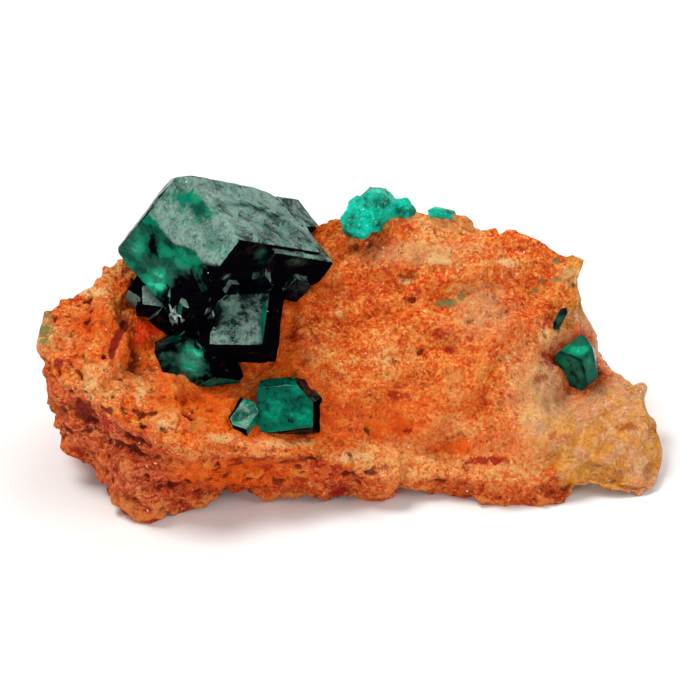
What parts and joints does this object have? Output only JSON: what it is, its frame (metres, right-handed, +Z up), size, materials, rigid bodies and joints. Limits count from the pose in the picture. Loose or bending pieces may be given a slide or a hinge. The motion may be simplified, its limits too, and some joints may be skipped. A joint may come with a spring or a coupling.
{
  "type": "mineral specimen",
  "caption": "Dark green dioptase crystals grown on a broken block of orange iron-stained rock, which rests on a flat patch underneath.",
  "frame": {"origin": "in the flat patch that the block rests on, below the middle of the block", "axes": "+X along the block towards its thin end, +Y away from the side that shows the crystals, +Z up"},
  "size_m": [0.05, 0.0237, 0.0231],
  "materials": {
    "rock": "granular, iron stained, matt with sparkling grains",
    "dioptase": "deep green, glossy, with hazy end faces",
    "turquoise_crust": "sugary, opaque"
  },
  "bodies": {
    "root": {"matrix": "rock", "crystal_cluster": "dioptase", "crystal_pair": "dioptase", "right_crystal": "dioptase", "edge_crystal": "dioptase", "crest_crystal": "turquoise_crust", "turquoise_lump": "turquoise_crust"}
  },
  "joints": []
}
